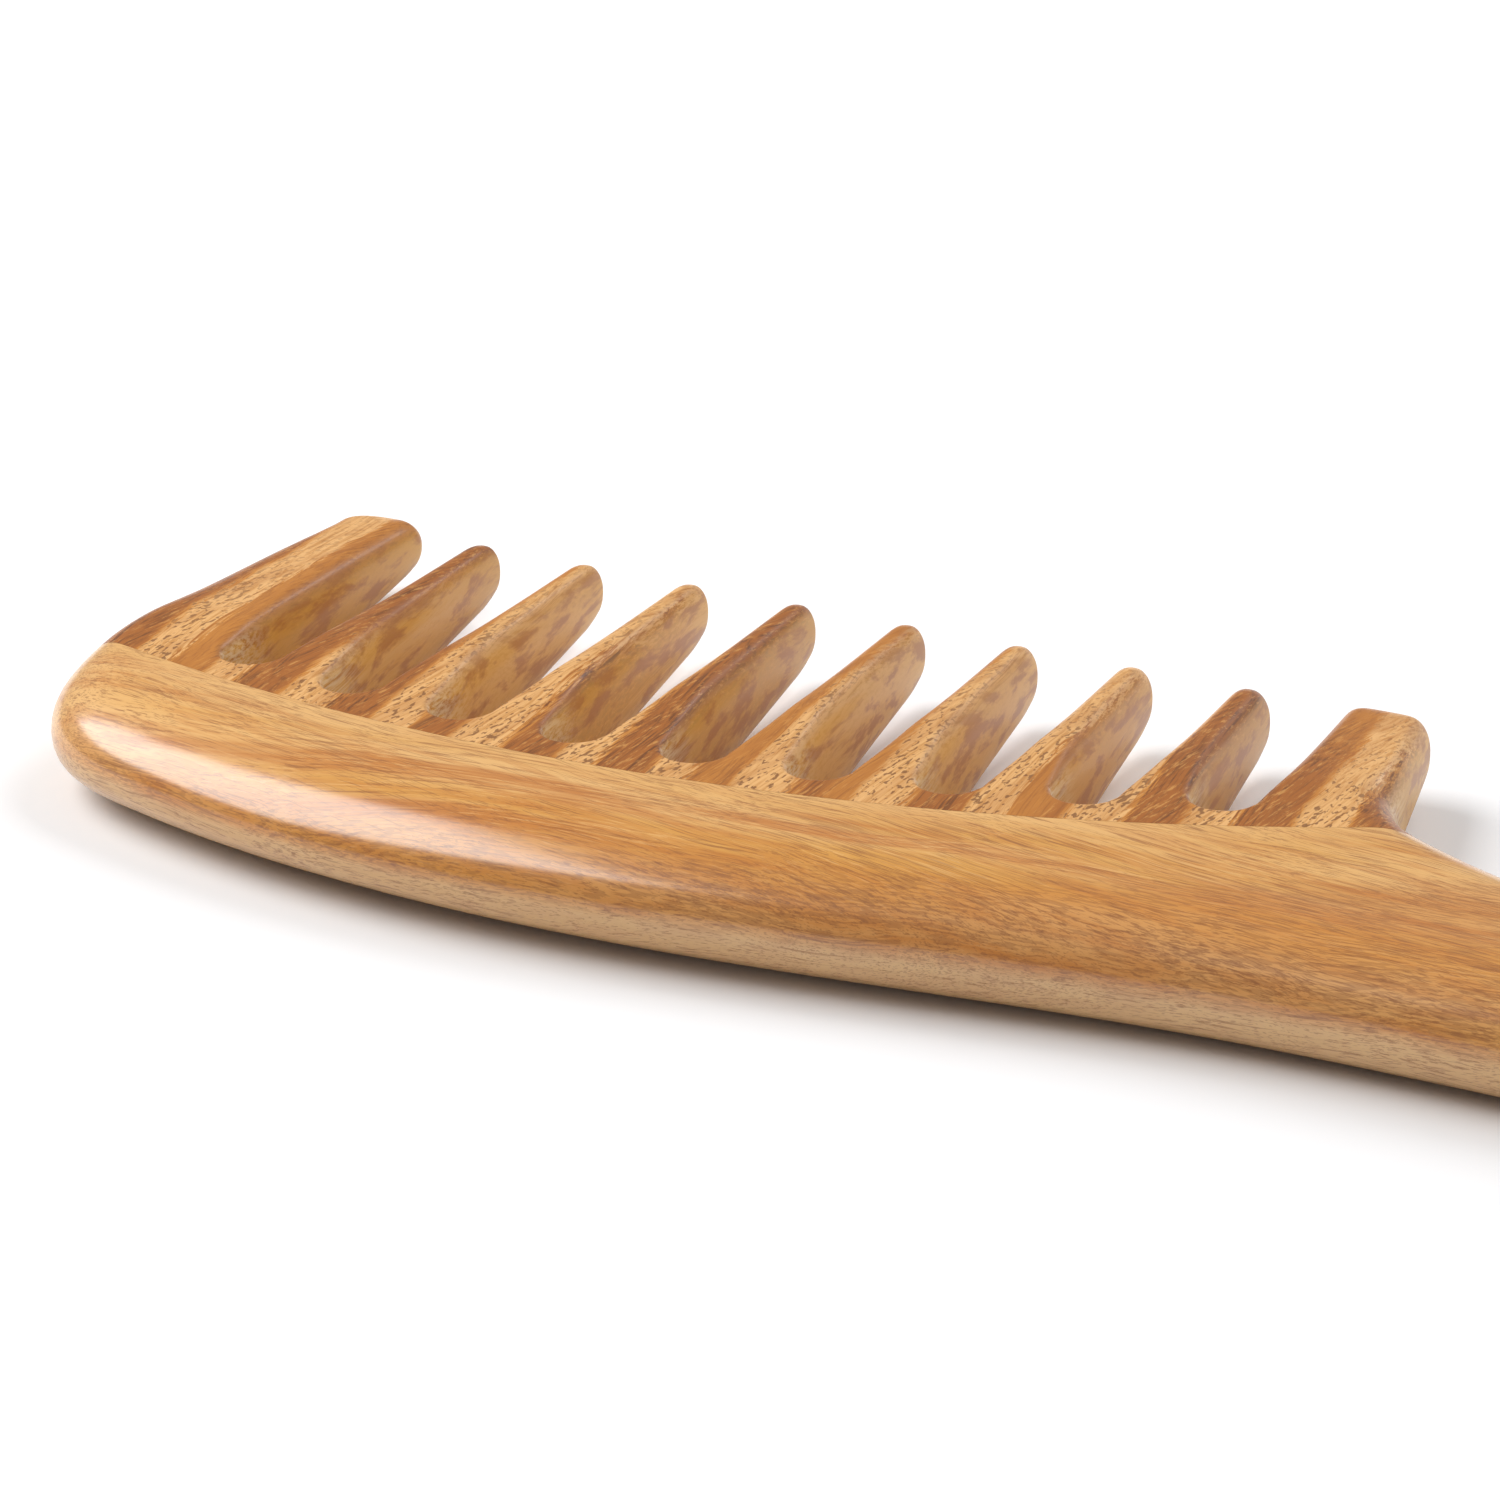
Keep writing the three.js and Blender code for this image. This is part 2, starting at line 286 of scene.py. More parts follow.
def round_end(first, second, before, after):
    """The radius that makes one full round of the end between two corners."""
    edge = np.subtract(second, first)
    width = np.linalg.norm(edge)
    turns = []
    for side in (np.subtract(first, before), np.subtract(after, second)):
        cosine = side @ edge / np.linalg.norm(side) / width
        turns.append(math.tan(math.acos(np.clip(cosine, -1, 1)) / 2))
    return ROUND_FILL * width / sum(turns)


def slot_corners(x):
    """The slot at x, from the top of its right wall round its root to the top of its left."""
    last, first = x == LAST_SLOT_X, x == FIRST_SLOT_X
    right_slope = LAST_WALL_SLOPE if last else WALL_SLOPE
    left_slope = FIRST_WALL_SLOPE if first else WALL_SLOPE
    bottom = root_y(x) - ROOT_RADIUS
    right_top = end_y(x + PITCH / 2)
    left_top = end_y(x - PITCH / 2)

    def wall(side, slope, y):
        return x + side * (ROOT_RADIUS + slope * (y - root_y(x)))

    return [
        (wall(1, right_slope, right_top), right_top),
        (wall(1, right_slope, bottom), bottom),
        (wall(-1, left_slope, bottom), bottom),
        (wall(-1, left_slope, left_top), left_top),
    ]


def tooth_softness(x, y):
    """Edges of the teeth: crisp round the slots' roots, and full and round towards the tips."""
    nearest = np.clip(np.round((x - FIRST_SLOT_X) / PITCH), 0, SLOTS - 1) * PITCH + FIRST_SLOT_X
    above_root = y - root_y(nearest)
    up = np.clip(above_root / (end_y(x) - root_y(nearest)), 0, 1)
    narrow = PITCH / 2 - ROOT_RADIUS - WALL_SLOPE * np.maximum(above_root, 0)
    guard = (x < FIRST_SLOT_X) | (x > LAST_SLOT_X)
    grown = 1 - (1 - up) ** SOFT_GROWTH
    reach = ROOT_SOFT[0] + (TOOTH_SOFT[0] - ROOT_SOFT[0]) * grown
    depth = ROOT_SOFT[1] + (TOOTH_SOFT[1] - ROOT_SOFT[1]) * grown
    return np.where(guard, reach, np.minimum(reach, TOOTH_SHARE * narrow)), depth


def back_path():
    """From the first guard tooth's tip down its edge, round the back and handle, to the hollow."""
    angles = np.linspace(math.pi + HOLLOW_TURN, math.pi, HOLLOW_POINTS)
    hollow_x = HOLLOW_CENTRE[0] + HOLLOW_RADIUS * np.cos(angles)
    hollow_y = HOLLOW_CENTRE[1] + HOLLOW_RADIUS * np.sin(angles)
    hollow = list(zip(hollow_x, hollow_y))
    soft = np.linspace(GUARD_TIP_SOFT, GUARD_SOFT, len(GUARD_EDGE)).tolist()
    soft += np.linspace(GUARD_SOFT, HEAD_SOFT, GUARD_TO_HEAD).tolist()
    soft += np.linspace(HEAD_SOFT, BACK_SOFT, HEAD_TO_BACK).tolist()
    soft += [BACK_SOFT] * (len(BACK_EDGE) - GUARD_TO_HEAD - HEAD_TO_BACK - BACK_TO_HOLLOW)
    soft += np.linspace(BACK_SOFT, HOLLOW_SOFT, BACK_TO_HOLLOW + HOLLOW_POINTS).tolist()
    points = GUARD_EDGE + BACK_EDGE + hollow
    return smooth_through([(*p, *s) for p, s in zip(points, soft)], EDGE_STEP)


def comb_outline():
    """The whole outline, counter-clockwise: rows of x, y, rounding reach and rounding depth."""
    back = back_path()
    corners = [tuple(back[-1, :2]), (LAST_TIP_X, float(end_y(LAST_TIP_X)))]
    radii = [0, GUARD_TIP_RADIUS]
    for i in reversed(range(SLOTS)):
        slot = slot_corners(FIRST_SLOT_X + i * PITCH)
        corners.extend(slot)
        root = round_end(slot[1], slot[2], slot[0], slot[3])
        inner = FIRST_TIP_RADII[1] if i == 0 else GUARD_TIP_RADIUS
        radii.extend((GUARD_TIP_RADIUS, root, root, inner))
    for i in range(5, len(corners) - 1, 4):
        tip = round_end(corners[i], corners[i + 1], corners[i - 1], corners[i + 2])
        radii[i] = radii[i + 1] = tip
    tip_x = GUARD_EDGE[0][0] + FIRST_TIP_INSET
    corners.append((tip_x, float(end_y(tip_x))))
    corners.append(tuple(back[0, :2]))
    radii.extend((FIRST_TIP_RADII[0], 0))
    x, y = rounded_path(corners, radii)[1:-1].T
    reach, depth = tooth_softness(x, y)
    outline = np.concatenate((back, np.column_stack((x, y, reach, depth))))
    window = np.ones(2 * SOFT_BLEND + 1) / (2 * SOFT_BLEND + 1)
    for column, most in ((2, HEAD_SOFT[0]), (3, 1)):
        around = np.pad(outline[:, column], SOFT_BLEND, mode="wrap")
        outline[:, column] = np.clip(np.convolve(around, window, "valid"), 0, most)
    return outline


# ---- Height of the surface ----------------------------------------------------------------


def full_half_thickness(x, y):
    """Half the thickness at a point, before the edges are rounded."""
    past = np.logaddexp(0, (y - THINNING_FROM_Y) / THINNING_ONSET) * THINNING_ONSET
    face = 1 - THINNING_SLOPE * past / HALF
    to_tip = np.clip(1 - (end_y(x) - y) / TIP_ROUND_LENGTH, 0, 1)
    wave = noise.noise(Vector((x, y, 0)) / WAVE_LENGTH) - noise.noise(Vector((0, 0, 0)))
    return HALF * face * math.sqrt(1 - TIP_ROUND_LOSS * to_tip**2) - WAVE_HEIGHT * (0.5 + wave / 2)


class Surface:
    """Half the comb's thickness at any point of the plan."""

    def __init__(self, outline):
        self.outline = outline
        count = len(outline)
        low = [(x, y, -1) for x, y in outline[:, :2]]
        high = [(x, y, 1) for x, y in outline[:, :2]]
        walls = [(i, (i + 1) % count, (i + 1) % count + count, i + count) for i in range(count)]
        self.tree = BVHTree.FromPolygons(low + high, walls)

    def half_thickness(self, x, y):
        spot, _, index, distance = self.tree.find_nearest((x, y, 0))
        start = self.outline[index]
        end = self.outline[(index + 1) % len(self.outline)]
        length = np.linalg.norm(end[:2] - start[:2])
        share = math.dist(spot[:2], start[:2]) / length
        reach, depth = start[2:] + (end[2:] - start[2:]) * share
        full = full_half_thickness(x, y)
        inward = 1 - min(distance / reach, 1)
        rise = (1 - inward**ROUND_POWER) ** (1 / ROUND_POWER)
        return max(full * (1 - depth * (1 - rise)), 0)

    def clearance(self, x, y):
        """How far inside the rounding a point lies: less than 0 on the rounding."""
        _, _, index, distance = self.tree.find_nearest((x, y, 0))
        return distance - self.outline[index][2]


# ---- Triangles ----------------------------------------------------------------------------


def add_line(points, edges, line, closed=False):
    """Adds a line's points, and the edges between them."""
    start = len(points)
    points.extend(map(tuple, line))
    edges.extend((i, i + 1) for i in range(start, start + len(line) - 1))
    if closed:
        edges.append((start + len(line) - 1, start))


def plan_lines(outline):
    """The points and the lines that the triangles must follow."""
    points, edges = [], []
    ahead = np.roll(outline[:, :2], -1, axis=0) - np.roll(outline[:, :2], 1, axis=0)
    inward = np.column_stack((-ahead[:, 1], ahead[:, 0]))
    inward /= np.linalg.norm(inward, axis=1)[:, None]
    for ring in range(RINGS + 1):
        angle = ring / RINGS * math.pi / 2
        reach = 1 - math.cos(angle) ** (2 / ROUND_POWER)
        add_line(points, edges, outline[:, :2] + inward * outline[:, 2:3] * reach, closed=True)
    x = np.linspace(JOINT_FROM_X, JOINT_TO_X, JOINT_POINTS)
    for side in (-1, 1):
        add_line(points, edges, np.column_stack((x, joint_y(x) + side * GLUE_LINE / 2)))
    return points, edges


def fill_points(surface):
    """An even grid of points over the inside of the comb, clear of its lines."""
    low = surface.outline[:, :2].min(axis=0)
    high = surface.outline[:, :2].max(axis=0)
    points = []
    for row, y in enumerate(np.arange(low[1], high[1], GRID_ROW_STEP)):
        for x in np.arange(low[0] + (row % 2) * GRID_STEP / 2, high[0], GRID_STEP):
            if x < HOLLOW_CENTRE[0] and abs(y - joint_y(x)) < CLEAR_OF_LINES:
                continue
            if surface.clearance(x, y) > CLEAR_OF_LINES:
                points.append((x, y))
    return points


def piece_of(x, y):
    """The piece that a point of the plan belongs to, or None in the glue line."""
    beyond_joint = x > HOLLOW_CENTRE[0]
    above = -1 if beyond_joint else y - joint_y(x)
    if abs(above) < GLUE_LINE / 2 - 1e-4:
        return None
    return "toothed_block" if above > 0 else "spine_and_handle"


def cut_plan(surface):
    """The plan's points, and the triangles of every piece."""
    outline = surface.outline
    points, edges = plan_lines(outline)
    points.extend(fill_points(surface))
    coords = [Vector(p) for p in points]
    verts, _, faces, _, _, origin = delaunay_2d_cdt(coords, edges, [range(len(outline))], 0, 1e-5)
    triangles = {}
    for face, inside in zip(faces, origin):
        middle = sum((verts[i] for i in face), Vector((0, 0))) / 3
        name = piece_of(middle.x, middle.y) if inside else None
        if name:
            triangles.setdefault(name, []).append(face)
    return verts, triangles


def groove_cutter():
    """The room that the spline takes, a little larger than the spline all round."""
    ends = (spline_low.x / MM - SHIFT[0] - GROOVE_GAP, spline_high.x / MM - SHIFT[0] + GROOVE_GAP)
    x = np.linspace(*ends, GROOVE_SECTIONS + 1)
    low_y = joint_y(x, SPLINE_INTO_SPINE + GROOVE_GAP)
    high_y = joint_y(x, -SPLINE_INTO_BLOCK - GROOVE_GAP)
    low_z, high_z = spline_low.z / MM - GROOVE_GAP, spline_high.z / MM + GROOVE_GAP
    coords = []
    for at, low, high in zip(x, low_y, high_y):
        section = ((low, low_z), (high, low_z), (high, high_z), (low, high_z))
        coords.extend(((at + SHIFT[0]) * MM, (y + SHIFT[1]) * MM, z * MM) for y, z in section)
    polygons = [(3, 2, 1, 0), tuple(4 * GROOVE_SECTIONS + i for i in range(4))]
    for section in range(GROOVE_SECTIONS):
        for i in range(4):
            a, b = 4 * section + i, 4 * section + (i + 1) % 4
            polygons.append((a, b, b + 4, a + 4))
    mesh = bpy.data.meshes.new("groove")
    mesh.from_pydata(coords, [], polygons)
    cutter = bpy.data.objects.new("groove", mesh)
    bpy.context.scene.collection.objects.link(cutter)
    return cutter


def cut_groove(piece):
    """Cuts the spline's groove out of a board."""
    cutter = groove_cutter()
    cut = piece.modifiers.new("groove", "BOOLEAN")
    cut.operation = "DIFFERENCE"
    cut.solver = "EXACT"
    cut.object = cutter
    depsgraph = bpy.context.evaluated_depsgraph_get()
    mesh = bpy.data.meshes.new_from_object(piece.evaluated_get(depsgraph))
    piece.modifiers.clear()
    piece.data = mesh
    bpy.data.objects.remove(cutter)


def lift_piece(name, verts, heights, faces):
    """A closed piece: triangles above and below the middle plane, and the walls between."""
    used = sorted({i for face in faces for i in face})
    coords, top, bottom = [], {}, {}
    for i in used:
        x, y = np.array(verts[i]) + SHIFT
        top[i] = bottom[i] = len(coords)
        coords.append((x * MM, y * MM, (MIDDLE_Z + heights[i]) * MM))
        if heights[i] > CLOSED_AT:
            bottom[i] = len(coords)
            coords.append((x * MM, y * MM, (MIDDLE_Z - heights[i]) * MM))
    polygons = []
    ways = set()
    for a, b, c in faces:
        ways.update(((a, b), (b, c), (c, a)))
        polygons.append((top[a], top[b], top[c]))
        polygons.append((bottom[c], bottom[b], bottom[a]))
    for a, b in sorted(ways):
        if (b, a) in ways:
            continue
        wall = dict.fromkeys((bottom[a], bottom[b], top[b], top[a]))
        if len(wall) > 2:
            polygons.append(tuple(wall))
    mesh = bpy.data.meshes.new(name)
    mesh.from_pydata(coords, [], polygons)
    piece = bpy.data.objects.new(f"{name}_wood", mesh)
    bpy.context.scene.collection.objects.link(piece)
    cut_groove(piece)
    piece.data.shade_smooth()
    piece.data.set_sharp_from_angle(angle=SHARP_ANGLE)
    return piece


def make_pieces():
    """Every visible piece of the comb, riding on its body in place of its CAD node."""
    surface = Surface(comb_outline())
    verts, triangles = cut_plan(surface)
    heights = [surface.half_thickness(*v) for v in verts]
    made = {}
    for name, faces in sorted(triangles.items()):
        piece = lift_piece(name, verts, heights, faces)
        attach(piece, "root")
        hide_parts(name)
        made[name] = piece
    return made


pieces = make_pieces()

# ---- Materials ----------------------------------------------------------------------------


def colour(code):
    """Linear colour from a web colour code."""
    channels = [int(code[i:i + 2], 16) / 255 for i in (0, 2, 4)]
    linear = [c / 12.92 if c < 0.04045 else ((c + 0.055) / 1.055) ** 2.4 for c in channels]
    return (*linear, 1)


class Graph:
    """Builds the node tree of one material."""

    def __init__(self, name):
        self.material = bpy.data.materials.new(name)
        self.material.use_nodes = True
        self.tree = self.material.node_tree
        self.tree.nodes.clear()

    def add(self, kind, inputs, output=0, **settings):
        """Adds a node, sets or links its inputs, and gives one of its outputs."""
        node = self.tree.nodes.new(kind)
        for key, value in settings.items():
            setattr(node, key, value)
        for key, value in inputs.items():
            if isinstance(value, bpy.types.NodeSocket):
                self.tree.links.new(value, node.inputs[key])
            else:
                node.inputs[key].default_value = value
        return node.outputs[output] if node.outputs else None

    def position(self, turn=0, shift=(0, 0, 0)):
        """Coordinates in mm, turned about Z and then shifted."""
        place = self.add("ShaderNodeTexCoord", {}, output="Object")
        turned = self.add("ShaderNodeMapping", {"Vector": place, "Rotation": (0, 0, turn),
                                                "Scale": (1 / MM,) * 3})
        return self.add("ShaderNodeMapping", {"Vector": turned, "Location": shift})

    def warp(self, place, scale, amount):
        """Moves coordinates about by a slow noise, so that straight lines wander."""
        drift = self.add("ShaderNodeTexNoise", {"Vector": place, "Scale": scale, "Detail": 2},
                         output="Color")
        centred = self.add("ShaderNodeVectorMath", {0: drift, 1: (0.5, 0.5, 0.5)},
                           operation="SUBTRACT")
        scaled = self.add("ShaderNodeVectorMath", {0: centred, 1: amount}, operation="MULTIPLY")
        return self.add("ShaderNodeVectorMath", {0: place, 1: scaled}, operation="ADD")

    def noise(self, place, detail=3, roughness=0.5, distortion=0):
        """Noise whose features are about one unit of place across."""
        return self.add("ShaderNodeTexNoise", {
            "Vector": place, "Scale": 1, "Detail": detail, "Roughness": roughness,
            "Distortion": distortion,
        })

    def stretch(self, place, scale):
        """Coordinates multiplied by a scale for each axis."""
        return self.add("ShaderNodeVectorMath", {0: place, 1: scale}, operation="MULTIPLY")

    def steps(self, value, low, high):
        """0 as far as low, 1 from high on, and smooth between. Either may be the greater."""
        return self.add("ShaderNodeMapRange", {"Value": value, "From Min": low, "From Max": high},
                        interpolation_type="SMOOTHSTEP")

    def calc(self, operation, a, b=0):
        """One step of arithmetic on numbers."""
        return self.add("ShaderNodeMath", {0: a, 1: b}, operation=operation)

    def mix(self, share, a, b):
        """A number between two others."""
        return self.add("ShaderNodeMix", {"Factor": share, "A": a, "B": b})

    def axis(self, place, name):
        """One of the three coordinates of a place."""
        return self.add("ShaderNodeSeparateXYZ", {"Vector": place}, output=name)

    def blend(self, share, below, above):
        """The colour below, covered by the colour above as far as share says."""
        return self.add("ShaderNodeMix", {0: share, 6: below, 7: above}, output=2,
                        data_type="RGBA")


def finish(g, body, fine, marks, coat=0.85):
    """Hand-polished wood: pores and streaks a little sunk and duller, under a thin shine."""
    relief = g.calc("SUBTRACT", g.calc("MULTIPLY", fine, 0.35), g.calc("MULTIPLY", marks, 0.5))
    bump = g.add("ShaderNodeBump", {"Height": relief, "Strength": 0.4, "Distance": 0.05 * MM})
    rough = g.add("ShaderNodeMapRange", {"Value": relief, "From Min": -0.4, "From Max": 0.4,
                                         "To Min": 0.6, "To Max": 0.42})
    shader = g.add("ShaderNodeBsdfPrincipled", {
        "Base Color": body, "Roughness": rough, "Normal": bump, "Coat Weight": coat,
        "Coat Roughness": 0.2, "Coat IOR": 1.75, "Specular IOR Level": 0.2,
    })
    g.add("ShaderNodeOutputMaterial", {"Surface": shader})
    return g.material


# Sets the grain of one wood apart from the next, so that no two show the same figure.
GRAIN_SHIFT = (37.1, 11.7, 5.3)

# How many features of each kind there are in a mm along the grain, and across it.
FINE_STRAIGHT = (0.07, 4.2, 4.2)
FINE_SLANTED = (0.09, 4, 4)
SLANTED_PATCHES = (0.025, 0.22, 0.22)
BOLD = (0.05, 0.8, 0.8)
PORE_CROWDS = (0.05, 0.2, 0.2)
SPINE_BANDS = (0.012, 0.16, 0.16)
SPINE_DEEPER = (0.02, 0.3, 0.3)
BLOCK_SPECKS = (0.5, 4, 4)


def grain_places(g, turn, cross, seed):
    """Coordinates with X along the grain, straight and slanted as interlocked grain is."""
    shift = tuple(seed * far for far in GRAIN_SHIFT)
    straight = g.warp(g.position(turn, shift), 0.03, (0, 5, 5))
    slanted = g.warp(g.position(turn + cross, shift), 0.04, (0, 4, 4))
    return straight, slanted


def fine_streaks(g, straight, slanted):
    """Fine streaks that run straight in some places and slanted in others."""
    along = g.noise(g.stretch(straight, FINE_STRAIGHT), detail=5, roughness=0.72)
    across = g.noise(g.stretch(slanted, FINE_SLANTED), detail=5, roughness=0.72)
    patches = g.noise(g.stretch(straight, SLANTED_PATCHES), detail=2)
    return g.mix(g.steps(patches, 0.42, 0.58), along, across)


def bold_streaks(g, slanted):
    """Broad slanting streaks: 1 in them and 0 between."""
    streaks = g.noise(g.stretch(slanted, BOLD), detail=4, roughness=0.6)
    return g.steps(streaks, 0.46, 0.62)


def dashes(g, place, length, width, share):
    """Pores cut open: dashes of that length and width in mm, crowded in some places."""
    cells = g.noise(g.stretch(place, (1 / length, 1 / width, 1 / width)), detail=1.5,
                    distortion=0.3)
    crowd = g.noise(g.stretch(place, PORE_CROWDS), detail=2)
    edge = g.calc("SUBTRACT", 0.82 - share, g.calc("MULTIPLY", crowd, 0.25))
    return g.steps(g.calc("SUBTRACT", cells, edge), 0, 0.07)


def cover(g, share, strength, below, above):
    """A colour laid over another, at most as strong as strength."""
    return g.blend(g.calc("MULTIPLY", share, strength), below, above)


def facing(g, axis):
    """How far the surface faces along an axis of the comb, from -1 to 1."""
    return g.axis(g.add("ShaderNodeTexCoord", {}, output="Normal"), axis)


def behind_joint(g):
    """How far a point lies behind the arc of the glue joint: less than 0 in the block."""
    centre = (JOINT_LOW_X + SHIFT[0], JOINT_LOW_Y + JOINT_RADIUS + SHIFT[1], 0)
    flat = g.stretch(g.position(), (1, 1, 0))
    reach = g.add("ShaderNodeVectorMath", {0: flat, 1: centre}, output="Value",
                  operation="DISTANCE")
    return g.calc("SUBTRACT", reach, JOINT_RADIUS)


# Where the spine's colours fade in, in mm: behind the joint, and along the comb.
PALE_STRIP = (7, 3)
FRONT_BAND = (11, 15)
HANDLE_FADE = (-10, 50)

SPINE_PALE = "dfad6a"
SPINE_GOLD = "cf9440"
SPINE_ORANGE = "ba7124"
SPINE_FRONT_TONE_AND_SHADE = "b86c1c"
SPINE_LOWER_SHEEN = "cfa878"
SPINE_LINE = "8e5420"
SPINE_PORE = "7e481c"


def spine_wood():
    """The spine and handle: golden long grain, feathered in slanting bundles of fine lines."""
    g = Graph("spine_wood")
    straight, slanted = grain_places(g, 0, math.radians(15), 1)
    bands = g.noise(g.stretch(straight, SPINE_BANDS), detail=3)
    body = g.blend(g.steps(bands, 0.4, 0.62), colour(SPINE_GOLD), colour(SPINE_PALE))
    deeper = g.noise(g.stretch(straight, SPINE_DEEPER), detail=4, roughness=0.6)
    body = cover(g, g.steps(deeper, 0.48, 0.68), 0.85, body, colour(SPINE_ORANGE))

    body = cover(g, bold_streaks(g, slanted), 0.4, body, colour(SPINE_ORANGE))
    fine = fine_streaks(g, straight, slanted)
    body = cover(g, g.steps(fine, 0.46, 0.38), 0.6, body, colour(SPINE_PALE))
    depth = g.calc("ADD", behind_joint(g), g.calc("MULTIPLY", bands, 6))
    body = cover(g, g.steps(depth, *PALE_STRIP), 0.6, body, colour(SPINE_PALE))
    upper = g.steps(facing(g, "Z"), -0.15, 0.2)
    # The orange-brown band on the back edge's rounding: partly the wood's own colour, partly
    # painted shade where the rounding turns away from the lights.
    front_tone_and_shade = g.calc("MULTIPLY", g.steps(depth, *FRONT_BAND), upper)
    towards_end = g.steps(g.axis(g.position(), "X"), *HANDLE_FADE)
    front_tone_and_shade = g.calc("MULTIPLY", front_tone_and_shade, g.mix(towards_end, 1, 0.35))
    body = cover(g, front_tone_and_shade, 0.5, body, colour(SPINE_FRONT_TONE_AND_SHADE))
    # Painted reflection: the downward-facing lower side is made paler and greyer, standing in for
    # the white floor's sheen on it.
    body = cover(g, g.calc("SUBTRACT", 1, upper), 0.6, body, colour(SPINE_LOWER_SHEEN))
    body = cover(g, g.steps(fine, 0.53, 0.6), 0.6, body, colour(SPINE_LINE))
    flecks = g.calc("MULTIPLY", dashes(g, straight, length=1.8, width=0.2, share=0.2), front_tone_and_shade)
    body = cover(g, flecks, 0.35, body, colour(SPINE_PORE))
    marks = dashes(g, slanted, length=4.5, width=0.1, share=0.14)
    body = cover(g, marks, 0.4, body, colour(SPINE_PORE))
    return finish(g, body, fine, marks)


# Where the block's details fade in, in mm: pale roots, end grain and painted sheen, by how far
# behind the joint a point lies, which is less than 0 in the block, and pores by its Y.
ROOT_END_GRAIN_AND_SHEEN = (-13, -5)
PORES_FADE_Y = (26, -8)

BLOCK_LIGHT = "daa86c"
BLOCK_TAN = "bf884a"
BLOCK_GOLD = "bd7c32"
BLOCK_BROWN = "9c5c22"
BLOCK_DEEP = "6a3c18"
BLOCK_SPECK = "c68e4c"
BLOCK_SIDE = "cc983c"
BLOCK_END_GRAIN_AND_SHEEN = "dcc8a4"
BLOCK_PORE = "7a4f2a"


def ribbon_tone(g, fine):
    """From 0 in dark ribbons, through 0.5 in golden ones, to 1 in light ones."""
    place = g.position(shift=(-SHIFT[0], -SHIFT[1], 0))
    height = g.calc("SUBTRACT", g.axis(place, "Z"), 2 * HALF)
    across = g.calc("ADD", g.axis(place, "X"), g.calc("MULTIPLY", height, RIBBON_TILT))
    wander = g.noise(g.stretch(place, (0.06, 0, 0)), detail=1)
    drift = g.noise(g.stretch(place, (0.25, 0.07, 0.1)), detail=2)
    for shift, most in ((wander, RIBBON_WANDER), (drift, RIBBON_DRIFT), (fine, RIBBON_FEATHER)):
        across = g.calc("ADD", across, g.calc("MULTIPLY", g.calc("SUBTRACT", shift, 0.5), most))
    turns = g.calc("DIVIDE", g.calc("SUBTRACT", across, LIGHT_RIBBON_X), RIBBON_PITCH)
    wave = g.calc("COSINE", g.calc("MULTIPLY", turns, 2 * math.pi))
    depths = g.noise(g.stretch(place, (0.11, 0.01, 0)), detail=1)
    darkest = g.calc("MULTIPLY", g.steps(depths, 0.38, 0.62), 0.38)
    return g.calc("MAXIMUM", g.steps(wave, -0.5, 0.7), darkest)


def block_wood():
    """The toothed block: streaked in its dark ribbons, flecked with pores in its light ones."""
    g = Graph("block_wood")
    straight, slanted = grain_places(g, math.radians(-90), math.radians(12), 2)
    fine = fine_streaks(g, straight, slanted)
    tone = ribbon_tone(g, fine)

    dark = g.blend(g.steps(fine, 0.45, 0.64), colour(BLOCK_BROWN), colour(BLOCK_DEEP))
    specks = g.noise(g.stretch(slanted, BLOCK_SPECKS), detail=4, roughness=0.7)
    dark = cover(g, g.steps(specks, 0.52, 0.66), 0.75, dark, colour(BLOCK_SPECK))
    gold = cover(g, g.steps(fine, 0.48, 0.62), 0.6, colour(BLOCK_GOLD), colour(BLOCK_BROWN))
    light = g.blend(g.steps(fine, 0.45, 0.6), colour(BLOCK_LIGHT), colour(BLOCK_TAN))
    body = g.blend(g.steps(tone, 0.18, 0.48), dark, gold)
    body = g.blend(g.steps(tone, 0.5, 0.78), body, light)

    flatness = g.calc("ABSOLUTE", facing(g, "Z"))
    side = g.steps(flatness, 0.75, 0.2)
    body = cover(g, side, 0.75, body, colour(BLOCK_SIDE))
    bold = g.calc("MULTIPLY", bold_streaks(g, slanted), g.mix(side, 0.3, 0.75))
    body = g.blend(bold, body, colour(BLOCK_BROWN))
    # The walls at the slots' roots turn pale: partly their paler end grain, partly a painted
    # reflection of the white floor.
    end_grain_and_sheen = g.calc("MULTIPLY", side, g.steps(behind_joint(g), *ROOT_END_GRAIN_AND_SHEEN))
    end_grain_and_sheen = g.calc("MULTIPLY", end_grain_and_sheen, g.steps(fine, 0.62, 0.4))
    body = cover(g, end_grain_and_sheen, 0.75, body, colour(BLOCK_END_GRAIN_AND_SHEEN))

    near_base = g.steps(g.axis(g.position(), "Y"), *PORES_FADE_Y)
    commas = dashes(g, slanted, length=0.75, width=0.3, share=0.14)
    commas = g.calc("MULTIPLY", commas, g.steps(tone, 0.5, 0.75))
    commas = g.calc("MULTIPLY", commas, g.steps(flatness, 0.45, 0.98))
    commas = g.calc("MULTIPLY", commas, g.calc("ADD", g.calc("MULTIPLY", near_base, 0.7), 0.3))
    body = cover(g, commas, 0.85, body, colour(BLOCK_PORE))
    return finish(g, body, fine, commas, coat=0.3)


SPLINE_TAN = "c89c66"
SPLINE_BROWN = "8e6236"


def spline_wood():
    """Plain sawn wood for the hidden spline."""
    g = Graph("spline_wood")
    straight, slanted = grain_places(g, 0, 0, 3)
    fine = fine_streaks(g, straight, slanted)
    body = g.blend(g.steps(fine, 0.4, 0.65), colour(SPLINE_TAN), colour(SPLINE_BROWN))
    marks = dashes(g, straight, length=2, width=0.2, share=0.1)
    return finish(g, body, fine, marks)


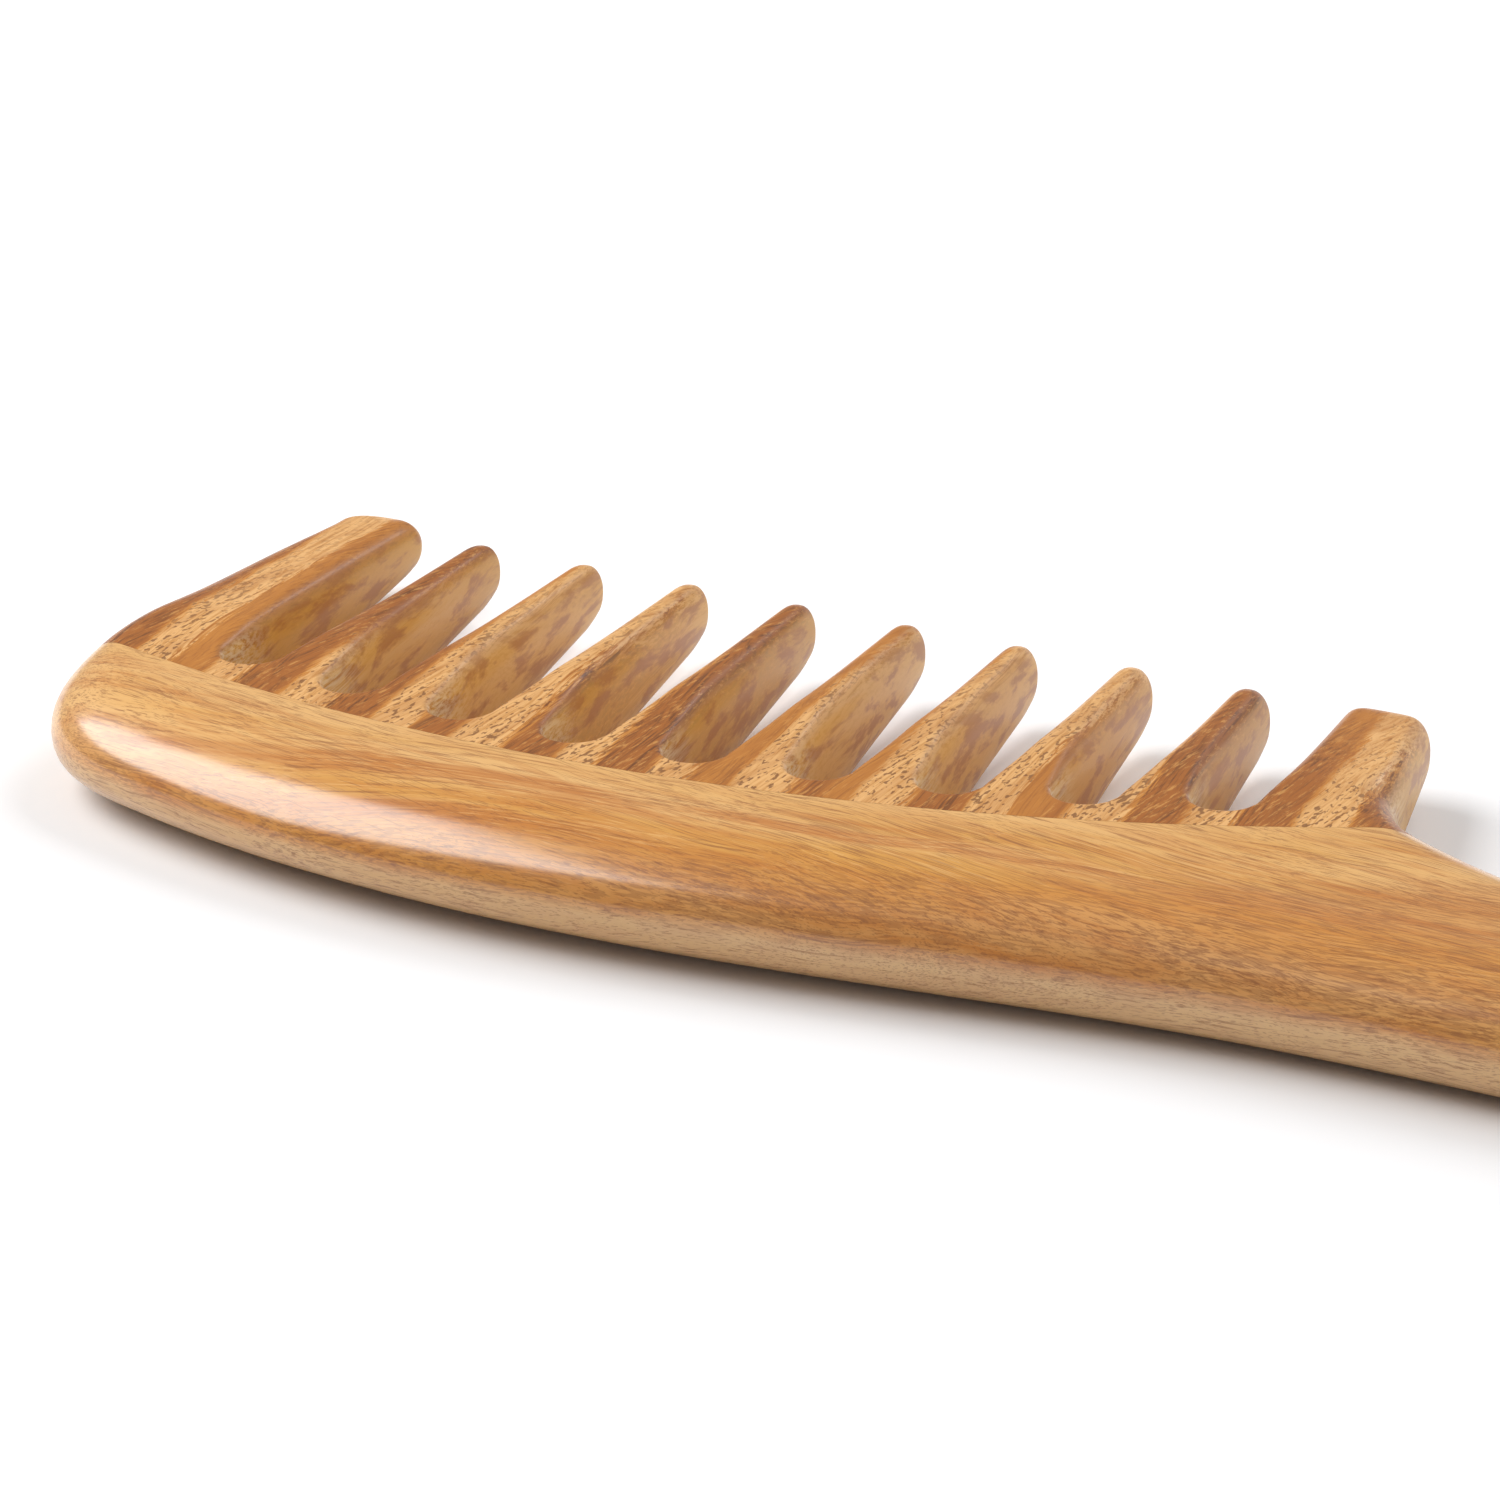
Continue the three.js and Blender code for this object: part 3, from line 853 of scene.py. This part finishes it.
def paint():
    """Gives every piece its wood."""
    pieces["spine_and_handle"].data.materials.append(spine_wood())
    pieces["toothed_block"].data.materials.append(block_wood())
    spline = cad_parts["joint_spline"]
    spline.data.materials.clear()
    spline.data.materials.append(spline_wood())


paint()

# ---- Studio -------------------------------------------------------------------------------

# Metres from the middle of the floor to its edges, and the brightness of the room.
FLOOR_REACH = 3
WORLD_STRENGTH = 0.26


def make_floor():
    """A plain floor of pale paper."""
    mesh = bpy.data.meshes.new("floor")
    signs = ((-1, -1), (1, -1), (1, 1), (-1, 1))
    corners = [(FLOOR_REACH * x, FLOOR_REACH * y, 0) for x, y in signs]
    mesh.from_pydata(corners, [], [(0, 1, 2, 3)])
    floor = bpy.data.objects.new("floor", mesh)
    bpy.context.scene.collection.objects.link(floor)
    g = Graph("floor_paper")
    shader = g.add("ShaderNodeBsdfPrincipled", {
        "Base Color": (0.84, 0.84, 0.85, 1), "Roughness": 0.9, "Specular IOR Level": 0.1,
    })
    g.add("ShaderNodeOutputMaterial", {"Surface": shader})
    mesh.materials.append(g.material)


def softbox(name, direction, distance, size, power):
    """A rectangular soft light that faces the point that the camera looks at."""
    data = bpy.data.lights.new(name, "AREA")
    data.shape = "RECTANGLE"
    data.size, data.size_y = size
    data.energy = power
    light = bpy.data.objects.new(name, data)
    bpy.context.scene.collection.objects.link(light)
    away = Vector(direction).normalized()
    light.location = CAMERA_TARGET + away * distance
    light.rotation_mode = "QUATERNION"
    light.rotation_quaternion = (-away).to_track_quat("-Z", "Y")


def make_lights():
    """Two soft lights in a dim white room."""
    softbox("left", direction=(-0.69, -0.13, 0.72), distance=0.8, size=(0.7, 0.55), power=7.4)
    softbox("right_back", direction=(0.45, 0.6, 0.66), distance=1.1, size=(0.9, 0.9), power=9)
    world = bpy.data.worlds.new("studio")
    world.use_nodes = True
    background = world.node_tree.nodes["Background"]
    background.inputs["Color"].default_value = (1, 1, 1, 1)
    background.inputs["Strength"].default_value = WORLD_STRENGTH
    bpy.context.scene.world = world


make_floor()
make_lights()
bpy.context.scene.view_settings.view_transform = "Standard"
